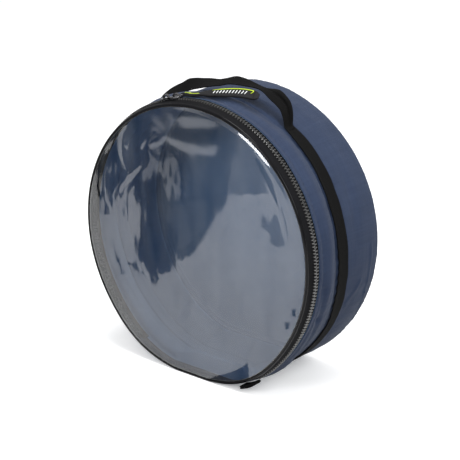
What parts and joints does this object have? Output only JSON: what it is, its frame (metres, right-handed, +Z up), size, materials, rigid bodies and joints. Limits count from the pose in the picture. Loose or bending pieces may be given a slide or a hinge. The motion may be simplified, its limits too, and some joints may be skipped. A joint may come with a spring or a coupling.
{
  "type": "round storage bag for electrical cables",
  "caption": "Round drum-shaped storage bag with a clear zipped front window, navy woven sides, webbing girth strap with carry handle, polished zip sliders and a long rubber zip pull.",
  "frame": {"origin": "on the floor under the middle of the drum, on the flat underside that the bag rests on", "axes": "+Z up, -Y towards the clear front window, +X to the right seen from the front"},
  "size_m": [0.3852, 0.1548, 0.3949],
  "materials": {
    "navy_cloth": "coated woven polyester",
    "clear_film": "clear flexible film",
    "black_piping": "gloss",
    "zip_tape": "woven tape",
    "zip_teeth": "moulded, satin",
    "chrome_metal": "polished black nickel",
    "pull_rubber": "satin, with pale ribs and lime edge lines",
    "webbing": "ribbed woven webbing"
  },
  "bodies": {
    "bag": {"gusset": "navy_cloth", "back_panel": "navy_cloth", "hinge_strip": "navy_cloth", "front_window": "clear_film", "front_piping": "black_piping", "zip_tape_front": "zip_tape", "zip_tape_rear": "zip_tape", "zip_chain_left": "zip_teeth", "zip_chain_right": "zip_teeth", "zip_slider_left": "chrome_metal", "zip_slider_right": "chrome_metal", "zip_end_tab": "webbing", "strap": "webbing"},
    "pull": {"zip_pull_link": "chrome_metal", "zip_pull_tab": "pull_rubber"}
  },
  "joints": [
    {"name": "zip_pull_hinge", "type": "hinge", "parent": "bag", "child": "pull", "pos_m": [-0.03308, -0.061, 0.37453], "axis": [0, -1, 0], "range_deg": [0, 135]}
  ]
}
